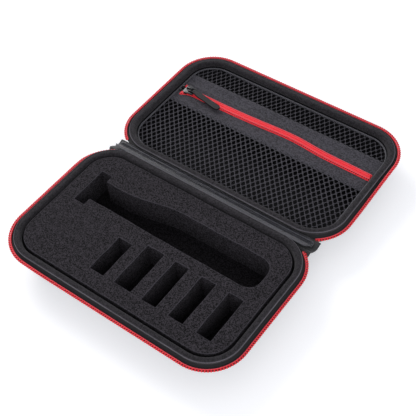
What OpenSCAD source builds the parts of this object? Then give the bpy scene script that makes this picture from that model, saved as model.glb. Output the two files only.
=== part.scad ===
// Hard case for an electric shaver, lying open on a table. The base with the cut
// foam is on the -Y side, the lid with the net pocket on the +Y side, and the
// fabric hinge runs along X between them.

/* [Case] */
// Length of each half over its rim, along the hinge
case_l = 211; // [195:1:260]
// Width of each half over its rim, away from the hinge
case_w = 129; // [124:1:160]
// Corner radius of the rim, seen from above
corner_r = 29.5; // [26:0.5:34]
// Height of the base from the table to its rim
base_h = 33; // [30:0.5:42]
// Height of the lid from the table to its rim
lid_h = 28.6; // [25:0.2:36]
// Distance between the two rims across the hinge
hinge_gap = 12.6; // [11:0.2:18]
// Gap between the two rims when the lid is closed
close_gap = 0.4; // [0.3:0.1:1.2]

/* [Shell] */
// Thickness of the moulded shell
shell_t = 2.5; // [1.8:0.1:3.2]
// Thickness of the fabric lining
lining_t = 0.4; // [0.3:0.1:0.8]
// Slope of the side walls, in degrees from upright
wall_draft = 15; // [8:1:17]
// Radius between the side walls and the flat bottom
edge_r = 12; // [9:0.5:14]

/* [Rim binding] */
// Thickness of the binding tape folded over the rim
binding_t = 0.7; // [0.4:0.1:1]
// Depth of each leg of the binding below the rim
binding_leg = 4; // [3:0.2:4.6]

/* [Main zipper] */
// Thickness of the zipper tape
tape_t = 0.45; // [0.3:0.05:0.7]
// Width of one row of the coil
coil_w = 3; // [2.4:0.1:3.6]
// Height of the coil
coil_t = 1.6; // [1.2:0.1:2]
// How far the coil stands out beyond the rim
coil_reach = 4.85; // [4.2:0.05:6]
// Depth of the middle of the coil below the rim
coil_drop = 5.2; // [5:0.1:7]
// Distance from one tooth of the coil to the next
tooth_pitch = 2; // [1.6:0.1:3]
// Width of one tooth along the row
tooth_w = 1.2; // [0.8:0.1:1.4]
// How far the tooth tips stand out of the row
tooth_l = 1.2; // [0.8:0.1:1.6]
// Degrees that each end of the zipper runs round a hinge-side corner
chain_turn = 57; // [40:1:62]

/* [Hinge] */
// Thickness of each layer of the fabric hinge
strip_t = 0.8; // [0.6:0.1:1.2]
// Distance from the end of the case to the end of the hinge
strip_end = 13.5; // [12.5:0.5:30]
// How far the hinge is glued down each back wall
strip_leg = 9; // [6:0.5:12]
// How far the upper layer of the hinge sags between the two halves
strip_sag = 2.2; // [1:0.1:3.5]

/* [Foam insert] */
// Gap between the foam and the rim binding
foam_gap = 2.75; // [2:0.05:5]
// Depth of the foam's top below the rim
foam_drop = 1; // [0.5:0.1:3]
// Thickness of the uncut foam sheet under the insert
foam_floor_t = 4.9; // [3:0.1:8]
// Distance from the end of the foam to the recess for the shaver's head
head_margin = 13.5; // [10:0.5:20]
// Distance from the hinge side of the foam to the head recess
head_back = 20.5; // [17:0.5:26]
// Length of the head recess, across the case
head_l = 35; // [32:0.5:40]
// Width of the head recess, along the case
head_w = 10.3; // [8:0.1:14]
// Width of the neck of the handle recess
neck_w = 21; // [16:0.5:26]
// Length of the neck before the handle widens
neck_l = 18; // [10:1:26]
// Width of the handle recess
handle_w = 30; // [26:0.5:32]
// Distance from the far end of the foam to the end of the handle recess
handle_margin = 12.7; // [10:0.1:20]
// How far the handle recess lies nearer to the hinge than the head recess
handle_shift = 4; // [0:0.5:6]
// Width of a slot for an attachment
slot_w = 13; // [9:0.5:15]
// Width of the one wider slot
slot_wide = 16; // [12:0.5:18]
// Width of the foam left between the slots and the handle recess
slot_web = 9.9; // [7:0.1:15]
// How much shorter the first slot is
slot_step = 6.5; // [0:0.5:12]
// Distance from the middle of one slot to the middle of the next
slot_pitch = 25; // [22:0.5:27]
// Distance from the front of the foam to the slots
slot_margin = 13.7; // [11:0.1:18]
// Distance from the far end of the foam to the last slot
slot_end = 13.5; // [10:0.5:20]

/* [Net pocket] */
// Depth of the pocket panel below the lid's rim
pocket_depth = 7; // [6:0.2:10]
// Thickness of the net
net_t = 0.8; // [0.5:0.1:1]
// Thickness of the pocket's zipper tapes
pocket_tape_t = 0.5; // [0.3:0.1:0.7]
// Distance from the lid's hinge-side rim to the middle of the pocket zipper
zip_y = 82.5; // [76:0.5:90]
// Width of the whole pocket chain
chain_w = 8; // [7:0.2:9]
// Gap between the two rows of teeth
chain_gap = 0.9; // [0.7:0.1:1.2]
// Plain tape and hem beyond the chain, on the side away from the hinge
far_band = 16.5; // [10:0.5:18]
// Plain tape and hem beyond the chain, on the hinge side
near_band = 12; // [8:0.5:18]
// Distance between two gaps of the net along the case
mesh_x = 11; // [10:0.5:16]
// Distance between two rows of gaps of the net
mesh_y = 4.4; // [4:0.2:6]
// Width of the cord between two gaps of the net
mesh_cord = 1.3; // [0.8:0.1:1.8]
// Plain margin round each net
mesh_margin = 2.5; // [2:0.5:6]
// Diameter of the piping round the pocket
piping_d = 1.4; // [1:0.1:2]

/* [Pocket slider] */
// Distance from the left end of the pocket panel to the middle of the slider
slider_park = 11.5; // [9:0.5:20]
// Length of the slider
slider_l = 10; // [8:0.5:12]
// Thickness of the slider's plates
plate_t = 0.9; // [0.7:0.1:1.2]
// Diameter of the pin that the puller turns on
pin_d = 1.2; // [1:0.1:1.6]
// Distance from that pin to the tip of the puller
puller_l = 37; // [28:0.5:38]
// Width of the puller's rubber grip
grip_w = 6; // [5:0.2:7]
// Thickness of the rubber grip
grip_t = 2; // [1.6:0.1:2.6]
// Distance from the pin to the start of the rubber grip
grip_start = 3.5; // [3.4:0.1:3.6]

/* [Main slider] */
// Distance from the end of the hinge to the end tab of the zipper
tab_in = 3; // [2.5:0.5:20]
// Width of the end tab and of the slider on it
tab_w = 8; // [6:0.2:8.6]
// Gap between the hinge and the slider that hangs under it
slider_drop = 0.9; // [0.4:0.1:1.5]
// Length of the main puller from its pin
main_pull_l = 12; // [9:0.1:12.5]

/* [Hidden] */
$fn = 64;

// Colours
black_cloth = [0.11, 0.10, 0.12];
knit_grey = [0.17, 0.16, 0.18];
satin_grey = [0.30, 0.30, 0.34];
foam_grey = [0.19, 0.18, 0.21];
zip_red = [0.84, 0.20, 0.24];
net_black = [0.14, 0.13, 0.16];
cord_grey = [0.36, 0.35, 0.38];
black_metal = [0.10, 0.10, 0.11];
rubber_black = [0.07, 0.07, 0.08];

// Small clearance between layers that are sewn or glued together
fit = 0.05;
// Clearance round cloth that lies against another part
cloth_gap = 0.3;
// Steps of the curve between a side wall and the bottom
edge_steps = 8;

// Layers of the rim, as distances inwards from its outside
tape_at = binding_t + fit;
shell_at = tape_at + tape_t + fit;
lining_at = shell_at + shell_t + fit;
leg_at = lining_at + lining_t + fit;
mouth_at = leg_at + binding_t;

slope = tan(wall_draft);
mid_x = case_l / 2 - corner_r;
mid_y = case_w / 2 - corner_r;
half_y = hinge_gap / 2 + case_w / 2;
hinge_z = (base_h + lid_h + close_gap) / 2;

// Distance of a wall from the corner's centre, at a depth below the rim
function wall_x(at, depth) = corner_r - at - depth * slope;

// Height of the bottom of a layer
function bottom_z(at) = (at - shell_at) * cos(wall_draft);

// Outline of one wall from the rim down to the flat bottom
function wall_line(h, at, top) =
    let (
        r = edge_r - bottom_z(at),
        cx = wall_x(shell_at, h - edge_r) - edge_r / cos(wall_draft),
        sweep = 90 - wall_draft
    )
    concat(
        [[wall_x(at, top), h - top]],
        [for (i = [0:edge_steps])
            let (a = -wall_draft - i * sweep / edge_steps)
            [cx + r * cos(a), edge_r + r * sin(a)]]
    );

// A list of points in the opposite order
function backwards(list) = [for (i = [len(list) - 1:-1:0]) list[i]];

// Section of a tray between two layers, down to the middle of its floor
function tray_section(h, outer, inner, top) =
    concat(wall_line(h, outer, top), [[0, bottom_z(outer)], [0, bottom_z(inner)]],
        backwards(wall_line(h, inner, top)));

// One straight side, drawn from a section
module straight(length) {
    translate([0, length / 2, 0])
        rotate([90, 0, 0])
            linear_extrude(length) children();
}

// One corner or its first part, drawn from a section; quadrant 0 is at +X +Y
module corner(quadrant, turn = 90) {
    side_x = quadrant == 0 || quadrant == 3 ? 1 : -1;
    side_y = quadrant < 2 ? 1 : -1;
    translate([side_x * mid_x, side_y * mid_y, 0])
        rotate([0, 0, 90 * quadrant])
            rotate_extrude(angle = turn) children();
}

// A section carried all the way round the case
module round_rim() {
    for (quadrant = [0:3])
        corner(quadrant) children();
    for (side = [0, 180]) {
        rotate([0, 0, side]) translate([mid_x, 0, 0]) straight(2 * mid_y) children();
        rotate([0, 0, side + 90]) translate([mid_y, 0, 0]) straight(2 * mid_x) children();
    }
}

// A section carried along the zipper, which leaves the hinge side open
module round_zipper() {
    for (side = [0, 1])
        mirror([side, 0, 0]) corner(0, chain_turn) children();
    corner(2) children();
    corner(3) children();
    for (side = [0, 180])
        rotate([0, 0, side]) translate([mid_x, 0, 0]) straight(2 * mid_y) children();
    rotate([0, 0, -90]) translate([mid_y, 0, 0]) straight(2 * mid_x) children();
}

// The flat middle of a tray or block
module middle(low, high) {
    translate([-mid_x, -mid_y, low]) cube([2 * mid_x, 2 * mid_y, high - low]);
}

// An upright block with the rim's outline, set in by a distance
module block(inset, low, high) {
    round_rim() translate([0, low]) square([corner_r - inset, high - low]);
    middle(low, high);
}

module on_base() translate([0, -half_y, 0]) children();
module on_lid() translate([0, half_y, 0]) mirror([0, 1, 0]) children();

// Layers of one half
module tray(h, outer, inner, top) {
    round_rim() polygon(tray_section(h, outer, inner, top));
    middle(bottom_z(outer), bottom_z(inner));
}

// Everything inside a layer, up to the rim
module inside(h, at) {
    round_rim() polygon(concat([[0, h]], wall_line(h, at, 0), [[0, bottom_z(at)]]));
    middle(bottom_z(at), h);
}

// The binding is a tape folded over the edges of the shell, lining and zipper tape
module binding(h) {
    round_rim() polygon([
        [wall_x(0, 0), h], [wall_x(0, binding_leg), h - binding_leg],
        [wall_x(binding_t, binding_leg), h - binding_leg], [wall_x(binding_t, binding_t), h - binding_t],
        [wall_x(leg_at, binding_t), h - binding_t], [wall_x(leg_at, binding_leg), h - binding_leg],
        [wall_x(mouth_at, binding_leg), h - binding_leg], [wall_x(mouth_at, 0), h]
    ]);
}

// The tape is held under the binding and flares out below it to carry the coil
module zipper_tape(h) {
    deck = coil_drop + coil_t / 2 + fit;
    under = binding_leg + fit;
    coil_in = corner_r + coil_reach - coil_w - cloth_gap;
    coil_out = corner_r + coil_reach - tooth_l;
    round_zipper() polygon([
        [wall_x(tape_at, binding_t + fit), h - binding_t - fit],
        [wall_x(tape_at, under), h - under],
        [coil_in, h - deck], [coil_out, h - deck],
        [coil_out, h - deck - tape_t], [coil_in, h - deck - tape_t],
        [wall_x(tape_at + tape_t, under + tape_t), h - under - tape_t],
        [wall_x(tape_at + tape_t, binding_t + fit), h - binding_t - fit]
    ]);
}

// Lengths along the rim at which the zipper's path changes from curve to line
turn_len = corner_r * chain_turn * PI / 180;
quarter_len = corner_r * PI / 2;
mark_1 = turn_len;
mark_2 = mark_1 + 2 * mid_y;
mark_3 = mark_2 + quarter_len;
mark_4 = mark_3 + 2 * mid_x;
mark_5 = mark_4 + quarter_len;
mark_6 = mark_5 + 2 * mid_y;
chain_len = mark_6 + turn_len;

function on_curve(cx, cy, angle, out) =
    [cx + (corner_r + out) * cos(angle), cy + (corner_r + out) * sin(angle)];

function degrees_of(length) = length / corner_r * 180 / PI;

// A point at a length along the zipper and a distance outside the rim
function chain_point(s, out) =
    s < mark_1 ? on_curve(-mid_x, mid_y, 180 - chain_turn + degrees_of(s), out)
    : s < mark_2 ? [-mid_x - corner_r - out, mid_y - (s - mark_1)]
    : s < mark_3 ? on_curve(-mid_x, -mid_y, 180 + degrees_of(s - mark_2), out)
    : s < mark_4 ? [-mid_x + s - mark_3, -mid_y - corner_r - out]
    : s < mark_5 ? on_curve(mid_x, -mid_y, 270 + degrees_of(s - mark_4), out)
    : s < mark_6 ? [mid_x + corner_r + out, -mid_y + s - mark_5]
    : on_curve(mid_x, mid_y, degrees_of(s - mark_6), out);

// Steps along the inner edge of the coil, close together only on the curves
function curve_steps(from, to, count) = [for (i = [0:count]) from + (to - from) * i / count];
inner_steps = concat(
    curve_steps(0, mark_1, 6), curve_steps(mark_2, mark_3, 8),
    curve_steps(mark_4, mark_5, 8), curve_steps(mark_6, chain_len, 6)
);

tooth_count = floor((chain_len - tooth_w) / tooth_pitch);

// One row of the coil: a plain edge with the teeth standing out of it
module zipper_coil(h) {
    root = coil_reach - tooth_l;
    outer = [for (i = [0:tooth_count]) let (s = i * tooth_pitch)
        each [chain_point(s, root), chain_point(s, coil_reach),
            chain_point(s + tooth_w, coil_reach), chain_point(s + tooth_w, root)]];
    inner = [for (s = backwards(inner_steps)) chain_point(s, coil_reach - coil_w)];
    translate([0, 0, h - coil_drop - coil_t / 2])
        linear_extrude(coil_t) polygon(concat(outer, inner));
}

// Base
module base_shell() color(black_cloth) on_base() tray(base_h, shell_at, lining_at - fit, binding_t + fit);
module base_lining() color(knit_grey) on_base() tray(base_h, lining_at, leg_at - fit, binding_t + fit);
module base_rim_binding() color(knit_grey) on_base() binding(base_h);
module base_zipper_tape() color(black_cloth) on_base() zipper_tape(base_h);
module base_zipper_coil() color(zip_red) on_base() zipper_coil(base_h);

// Foam
foam_at = mouth_at + foam_gap;
foam_top = base_h - foam_drop;
foam_floor_z = bottom_z(leg_at) + foam_floor_t;
foam_left = -case_l / 2 + foam_at;
foam_back = case_w / 2 - foam_at;
head_x = foam_left + head_margin;
head_y = foam_back - head_back - head_l / 2;
handle_end = -foam_left - handle_margin;
handle_y = head_y + handle_shift;
handle_start = head_x + head_w + neck_l;
slot_l = handle_y - handle_w / 2 - slot_web + foam_back - slot_margin;
flare_l = 55;
flare_steps = 8;
end_l = 14;
end_steps = 8;

// Half width and middle line of the handle recess, along its length
function ease(t) = (1 - cos(180 * t)) / 2;
function handle_half(t) = neck_w / 2 + (handle_w - neck_w) / 2 * ease(t);
function handle_mid(t) = head_y + (handle_y - head_y) * ease(t);

module handle_outline() {
    flare = [for (i = [0:flare_steps]) let (t = i / flare_steps)
        [handle_start + flare_l * t, handle_mid(t), handle_half(t)]];
    cap = [for (i = [0:end_steps]) let (a = 90 * i / end_steps)
        [handle_end - end_l + end_l * sin(a), handle_y, handle_w / 2 * sqrt(cos(a))]];
    line = concat([[head_x, head_y, neck_w / 2]], flare, cap);
    last = len(line) - 1;
    polygon(concat(
        [for (p = line) [p[0], p[1] + p[2]]],
        [for (i = [last - 1:-1:0]) [line[i][0], line[i][1] - line[i][2]]]
    ));
}

module slot(index, width, length) {
    x = -foam_left - slot_end - slot_w / 2 - (4 - index) * slot_pitch;
    translate([x - width / 2, -foam_back + slot_margin, foam_floor_z])
        cube([width, length, base_h]);
}

module foam_cutouts() {
    translate([head_x, head_y - head_l / 2, foam_floor_z]) cube([head_w, head_l, base_h]);
    translate([0, 0, foam_floor_z]) linear_extrude(base_h) handle_outline();
    slot(0, slot_w, slot_l - slot_step);
    slot(1, slot_wide, slot_l);
    for (index = [2:4])
        slot(index, slot_w, slot_l);
}

module foam_insert() color(foam_grey) on_base() difference() {
    intersection() {
        inside(base_h, leg_at);
        block(foam_at, foam_floor_z + fit, foam_top);
    }
    foam_cutouts();
}

module foam_floor_sheet() color(foam_grey) on_base() intersection() {
    inside(base_h, leg_at);
    block(foam_at, bottom_z(leg_at), foam_floor_z);
}

// Lid
module lid_shell() color(black_cloth) on_lid() tray(lid_h, shell_at, lining_at - fit, binding_t + fit);
module lid_lining() color(knit_grey) on_lid() tray(lid_h, lining_at, leg_at - fit, binding_t + fit);
module lid_rim_binding() color(knit_grey) on_lid() binding(lid_h);
module lid_zipper_tape() color(black_cloth) on_lid() zipper_tape(lid_h);
module lid_zipper_coil() color(zip_red) on_lid() zipper_coil(lid_h);

// Hinge: two layers of cloth with a slack loop between the halves. The outer one is
// glued to the back walls, the inner one is sewn to the bindings.
// A line is a list of points in Y and Z, from the base to the lid.
strip_half = case_l / 2 - strip_end;
strip_drop = binding_leg + 0.4;
loop_steps = 8;
seam_top = 0.8;
seam_low = 2.4;
outer_sag = strip_sag + strip_t + 2 * cloth_gap;

function wall_face(depth) = hinge_gap / 2 + shell_at + depth * slope - cloth_gap - strip_t / 2;
function binding_face(depth) = hinge_gap / 2 + depth * slope - cloth_gap - strip_t / 2;

// Height of a loop at a share t of the way across, and the points along it
function loop_z(t, drop, sag) = base_h - drop + (lid_h - base_h) * ease(t) - sag * sin(180 * t);

function loop(y, drop, sag) = [for (i = [0:loop_steps]) let (t = i / loop_steps)
    [-y + 2 * y * t, loop_z(t, drop, sag)]];

function on_both(face_y, drop) = [[-face_y, base_h - drop], [face_y, lid_h - drop]];

outer_ends = on_both(wall_face(strip_drop + strip_leg), strip_drop + strip_leg);
outer_bends = on_both(wall_face(strip_drop + 1), strip_drop + 1);
outer_half = wall_face(strip_drop) - 1.2;
outer_line = concat(
    [outer_ends[0], outer_bends[0]],
    loop(outer_half, strip_drop, outer_sag),
    [outer_bends[1], outer_ends[1]]
);
inner_ends = on_both(binding_face(seam_top), seam_top);
inner_line = concat(
    [inner_ends[0]], loop(binding_face(seam_low), seam_low, strip_sag), [inner_ends[1]]
);

// The direction across a line at one of its points
function across(line, i) =
    let (
        a = line[max(i - 1, 0)],
        b = line[min(i + 1, len(line) - 1)],
        d = (b - a) / norm(b - a)
    )
    [-d[1], d[0]];

// A line drawn as a band of cloth along the hinge
module cloth_band(line, thick, half_length) {
    steps = [0:len(line) - 1];
    upper = [for (i = steps) line[i] + across(line, i) * thick / 2];
    lower = [for (i = steps) line[i] - across(line, i) * thick / 2];
    translate([-half_length, 0, 0])
        rotate([90, 0, 90])
            linear_extrude(2 * half_length) polygon(concat(upper, backwards(lower)));
}

module hinge_outer_strip() color(black_cloth) cloth_band(outer_line, strip_t, strip_half);
module hinge_inner_strip() color(satin_grey) cloth_band(inner_line, strip_t, strip_half - 1);

// Net pocket, drawn where it lies
panel_z = lid_h - pocket_depth;
panel_at = leg_at + (pocket_depth + net_t) * slope + fit;
panel_half = case_l / 2 - panel_at;
panel_near = hinge_gap / 2 + panel_at;
panel_far = hinge_gap / 2 + case_w - panel_at;
chain_y = hinge_gap / 2 + zip_y;
chain_half = chain_w / 2;
far_edge = chain_y + chain_half + far_band;
near_edge = chain_y - chain_half - near_band;

// The part of the panel between two distances from the hinge
module panel(low_y, high_y, thick) {
    intersection() {
        on_lid() block(panel_at, panel_z - thick, panel_z);
        translate([-case_l / 2, low_y, 0]) cube([case_l, high_y - low_y, lid_h]);
    }
}

// True where a gap of the net fits inside the rounded corners of the panel
function fits_panel(x, y, reach) =
    let (
        dx = abs(x) + mesh_x / 2 - mesh_cord - mid_x,
        dy = abs(y - half_y) + mesh_y / 2 - mid_y
    )
    norm([max(dx, 0), max(dy, 0)]) < corner_r - panel_at - reach;

module net_gap() {
    half_l = mesh_x / 2 - mesh_cord;
    half_w = mesh_y / 2 - mesh_cord / 2;
    polygon([
        [-half_l, 0], [-half_l / 2, -half_w], [half_l / 2, -half_w],
        [half_l, 0], [half_l / 2, half_w], [-half_l / 2, half_w]
    ]);
}

module net(low_y, high_y) {
    rows = floor((high_y - low_y - 2 * mesh_margin) / mesh_y);
    start = (low_y + high_y - (rows - 1) * mesh_y) / 2;
    columns = ceil(panel_half / mesh_x);
    difference() {
        panel(low_y, high_y, net_t);
        translate([0, 0, panel_z - 2 * net_t])
            linear_extrude(3 * net_t)
                for (row = [0:rows - 1], column = [-columns:columns]) {
                    x = column * mesh_x + (row % 2) * mesh_x / 2;
                    y = start + row * mesh_y;
                    if (fits_panel(x, y, mesh_margin))
                        translate([x, y]) net_gap();
                }
    }
}

module pocket_net_far() color(net_black) net(far_edge + fit, panel_far);
module pocket_net_near() color(net_black) net(panel_near, near_edge - fit);

// The tapes lie level with the nets, and the coils are sewn on top of them
tape_in = chain_gap / 2 + 1;
module pocket_tape_far() color(black_cloth) panel(chain_y + tape_in, far_edge, pocket_tape_t);
module pocket_tape_near() color(black_cloth) panel(near_edge, chain_y - tape_in, pocket_tape_t);

coil_z = panel_z + fit;
stop_l = 1.8;
stop_w = 2;
root_l = 1.6;
row_left = -panel_half + piping_d + stop_l + 8 * fit;
row_right = panel_half - piping_d - 2 * fit;
row_teeth = floor((row_right - row_left - tooth_w) / tooth_pitch);

// One row of the pocket coil, its teeth towards the middle line
module pocket_row(side, shift) {
    tip = chain_gap / 2;
    root = tip + root_l;
    teeth = [for (i = [0:row_teeth - 1]) let (x = row_left + shift + i * tooth_pitch)
        each [[x, root], [x, tip], [x + tooth_w, tip], [x + tooth_w, root]]];
    corners = [[row_right, root], [row_right, chain_half], [row_left, chain_half], [row_left, root]];
    translate([0, chain_y, coil_z])
        mirror([0, side > 0 ? 0 : 1, 0])
            linear_extrude(coil_t) polygon(concat(teeth, corners));
}

module pocket_coil_far() color(zip_red) pocket_row(1, 0.2);
module pocket_coil_near() color(zip_red) pocket_row(-1, 0.2 + tooth_pitch / 2);

// Piping sewn along the edge of the panel
module pocket_piping() color(cord_grey) on_lid() round_rim()
    translate([corner_r - panel_at - piping_d / 2, panel_z + piping_d / 2 + fit]) circle(d = piping_d);

// Small blocks at the left ends of the rows, which stop the slider
module pocket_zip_stops() color(black_metal)
    for (y = [tape_in, -tape_in - stop_w])
        translate([row_left - stop_l - 4 * fit, chain_y + y, coil_z]) cube([stop_l, stop_w, coil_t]);

// Sizes shared by both sliders and their pullers
slide_gap = 0.2;
neck_t = chain_gap - 0.3;
cheek_t = 0.8;
cheek_y = chain_half + slide_gap;
bridge_l = 5.6;
bridge_w = 1.6;
bridge_t = 0.9;
pin_lift = 0.5;
bridge_gap = pin_lift + pin_d + 0.3;
link_y = 1.9;
link_w = 1;

// A shield outline, wide at the mouth and narrower at the tail
module shield(length, half_mouth, half_tail) {
    polygon([
        [-length / 2, -half_tail], [-length / 6, -half_tail], [length / 6, -half_mouth],
        [length / 2 - 1, -half_mouth], [length / 2, -half_mouth + 1],
        [length / 2, half_mouth - 1], [length / 2 - 1, half_mouth],
        [length / 6, half_mouth], [-length / 6, half_tail], [-length / 2, half_tail]
    ]);
}

// The bridge over the pin, standing on a plate
module bridge() {
    rotate([90, 0, 0]) translate([0, 0, -bridge_w / 2]) linear_extrude(bridge_w) difference() {
        translate([-bridge_l / 2, 0]) square([bridge_l, bridge_gap + bridge_t]);
        translate([-bridge_l / 2 + bridge_t, -1]) square([bridge_l - 2 * bridge_t, bridge_gap + 1]);
    }
}

// Pocket slider: two plates joined by a neck, which runs between the rows
slider_x = -panel_half + slider_park;
deck_z = coil_z + coil_t + slide_gap;
keel_z = panel_z - net_t - slide_gap;
pin_z = deck_z + plate_t + pin_lift + pin_d / 2;

module pocket_slider() color(black_metal) translate([slider_x, chain_y, 0]) {
    for (z = [deck_z, keel_z - plate_t])
        translate([0, 0, z]) mirror([1, 0, 0])
            linear_extrude(plate_t) shield(slider_l, cheek_y + cheek_t, cheek_y);
    translate([1 - slider_l / 2, -neck_t / 2, keel_z]) cube([3, neck_t, deck_z - keel_z]);
    for (y = [cheek_y, -cheek_y - cheek_t])
        translate([1 - slider_l / 2, y, panel_z + slide_gap])
            cube([slider_l / 2 - 2, cheek_t, deck_z - panel_z - slide_gap]);
    translate([0, 0, deck_z + plate_t]) bridge();
}

// The pin and the two legs of a puller's link, which point along +X
module link(reach) {
    rotate([90, 0, 0]) cylinder(d = pin_d, h = 2 * link_y, center = true);
    for (side = [-1, 1])
        translate([-pin_d / 2, side * link_y - link_w / 2, -pin_d / 2])
            cube([reach + pin_d / 2, link_w, pin_d]);
}

// Puller: a wire link under the bridge, and a rubber grip moulded onto it
link_reach = grip_start + 0.8;
grip_low = pin_d / 2 + 0.3;
module pocket_puller_link() color(black_metal) translate([slider_x, chain_y, pin_z]) link(link_reach);

module pocket_puller_grip() color(rubber_black) translate([slider_x, chain_y, pin_z]) difference() {
    translate([grip_start, -grip_w / 2, -grip_low]) cube([puller_l - grip_start, grip_w, grip_t]);
    for (side = [-1, 1])
        translate([0, side * link_y - link_w / 2 - fit, -pin_d / 2 - fit])
            cube([link_reach + fit, link_w + 2 * fit, pin_d + 2 * fit]);
}

// Highest place for a piece under the hinge that reaches equally far to both sides
function under_strip(half) = cloth_line(half) - strip_t * 0.6 - cloth_gap;
function cloth_line(half) = min([for (y = [-half, 0, half])
    loop_z((y / outer_half + 1) / 2, strip_drop, outer_sag)]);

// End tab of the main zipper: it hangs under the hinge and carries the parked slider
tab_t = 1;
tab_x = strip_half - tab_in;
bar_t = 1.2;
main_half = tab_w / 2 + 0.6;
main_slider_z = under_strip(main_half) - slider_drop - slider_l / 2;
tab_top = under_strip(tab_w / 2);
tab_low = main_slider_z - slider_l / 2 + bar_t + slide_gap;
module zipper_end_tab() color(black_cloth)
    translate([-tab_x - tab_t / 2, -tab_w / 2, tab_low]) cube([tab_t, tab_w, tab_top - tab_low]);

// The main slider stands on end, its plates on both sides of the tab
main_gap = tab_t + 3 * slide_gap;
main_out = main_gap / 2 + plate_t;
main_pin_x = -tab_x - main_out - pin_lift - pin_d / 2;
module main_slider() color(black_metal) translate([-tab_x, 0, main_slider_z]) {
    for (x = [main_gap / 2, -main_out])
        translate([x, 0, 0]) rotate([0, 90, 0]) linear_extrude(plate_t) mirror([1, 0, 0])
            shield(slider_l, main_half, main_half - 1.4);
    translate([-main_gap / 2, -1, -slider_l / 2]) cube([main_gap, 2, bar_t]);
    translate([-main_out, 0, 0]) rotate([0, -90, 0]) bridge();
}

// The main puller hangs straight down and ends in a plain metal plate
main_plate_l = 6;
module main_puller() color(black_metal) translate([main_pin_x, 0, main_slider_z]) {
    rotate([0, 90, 0]) link(main_pull_l - main_plate_l);
    translate([-pin_d / 2, -link_y - link_w / 2, -main_pull_l])
        cube([pin_d, 2 * link_y + link_w, main_plate_l]);
}

base_shell();
base_lining();
base_rim_binding();
base_zipper_tape();
base_zipper_coil();
foam_insert();
foam_floor_sheet();
lid_shell();
lid_lining();
lid_rim_binding();
lid_zipper_tape();
lid_zipper_coil();
hinge_outer_strip();
hinge_inner_strip();
zipper_end_tab();
main_slider();
main_puller();
pocket_net_far();
pocket_net_near();
pocket_tape_far();
pocket_tape_near();
pocket_coil_far();
pocket_coil_near();
pocket_piping();
pocket_zip_stops();
pocket_slider();
pocket_puller_link();
pocket_puller_grip();
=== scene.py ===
import math
from functools import partial

import bmesh
import bpy
import numpy as np
from bpy.props import FloatProperty, FloatVectorProperty, PointerProperty
from mathutils import Matrix, Vector, noise
from mathutils.geometry import tessellate_polygon


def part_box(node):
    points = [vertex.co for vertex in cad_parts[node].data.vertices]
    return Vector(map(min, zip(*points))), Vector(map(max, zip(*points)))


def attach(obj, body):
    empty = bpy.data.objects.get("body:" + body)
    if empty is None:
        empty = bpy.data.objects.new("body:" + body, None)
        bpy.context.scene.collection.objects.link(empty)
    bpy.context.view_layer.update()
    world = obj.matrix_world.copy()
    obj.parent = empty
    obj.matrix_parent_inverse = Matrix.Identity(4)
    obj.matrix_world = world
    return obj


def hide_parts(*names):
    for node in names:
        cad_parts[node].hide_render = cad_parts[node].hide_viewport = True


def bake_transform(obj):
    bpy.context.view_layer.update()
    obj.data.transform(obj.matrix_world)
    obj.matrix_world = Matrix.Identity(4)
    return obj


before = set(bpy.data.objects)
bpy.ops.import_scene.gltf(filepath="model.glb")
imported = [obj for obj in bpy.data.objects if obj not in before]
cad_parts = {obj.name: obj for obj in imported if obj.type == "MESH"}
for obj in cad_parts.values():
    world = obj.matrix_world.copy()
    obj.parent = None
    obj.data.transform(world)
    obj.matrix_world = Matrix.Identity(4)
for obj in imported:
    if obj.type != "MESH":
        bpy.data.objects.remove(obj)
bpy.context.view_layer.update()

bl_info = {
    "name": "Shaver Case Looks",
    "version": (1, 0, 0),
    "blender": (4, 5, 0),
    "location": "View3D > Sidebar > Shaver Case",
    "description": "Dresses the packed model of an open hard case with foam, net, cloth and zippers",
    "category": "Object",
}

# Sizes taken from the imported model, in millimetres
MM = 0.001
UP = Vector((0, 0, 1))


def box_mm(name):
    """Lower and upper corner of a CAD node"""
    low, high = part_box(name)
    return [c / MM for c in low], [c / MM for c in high]


BASE_RIM, LID_RIM = box_mm("base_rim_binding"), box_mm("lid_rim_binding")
FOAM, FOAM_FLOOR = box_mm("foam_insert"), box_mm("foam_floor_sheet")
NET_FAR, NET_NEAR = box_mm("pocket_net_far"), box_mm("pocket_net_near")
TAPE_FAR, TAPE_NEAR = box_mm("pocket_tape_far"), box_mm("pocket_tape_near")
COIL_FAR, COIL_NEAR = box_mm("pocket_coil_far"), box_mm("pocket_coil_near")
SLIDER, GRIP = box_mm("pocket_slider"), box_mm("pocket_puller_grip")
CASE_L = BASE_RIM[1][0] - BASE_RIM[0][0]
CASE_W = BASE_RIM[1][1] - BASE_RIM[0][1]
HALF_Y = (LID_RIM[0][1] + LID_RIM[1][1]) / 2
HINGE_GAP = HALF_Y - CASE_W / 2
RIM_Z = {"base": BASE_RIM[1][2], "lid": LID_RIM[1][2]}
PANEL_Z = NET_NEAR[1][2]
CHAIN_Y = (COIL_FAR[1][1] + COIL_NEAR[0][1]) / 2

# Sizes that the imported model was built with, in millimetres and degrees
CORNER, EDGE_R = 29.5, 12.0
WALL_TILT = 15
SLOPE = math.tan(math.radians(WALL_TILT))
SHELL_AT, LINING_AT, PANEL_AT = 1.25, 4.25, 6.39
CHAIN_TURN = 57.0


def srgb(r, g, b):
    """A colour as it is seen, 0 to 255, turned into the linear values that Blender takes"""
    return tuple((c / 3294.6) if c <= 10.3 else ((c / 255 + 0.055) / 1.055) ** 2.4 for c in (r, g, b))


def length_setting(name, description, default):
    return FloatProperty(name=name, description=description, default=default, unit="LENGTH")


def colour_setting(name, description, *shown):
    return FloatVectorProperty(name=name, description=description, subtype="COLOR", default=srgb(*shown))


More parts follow.
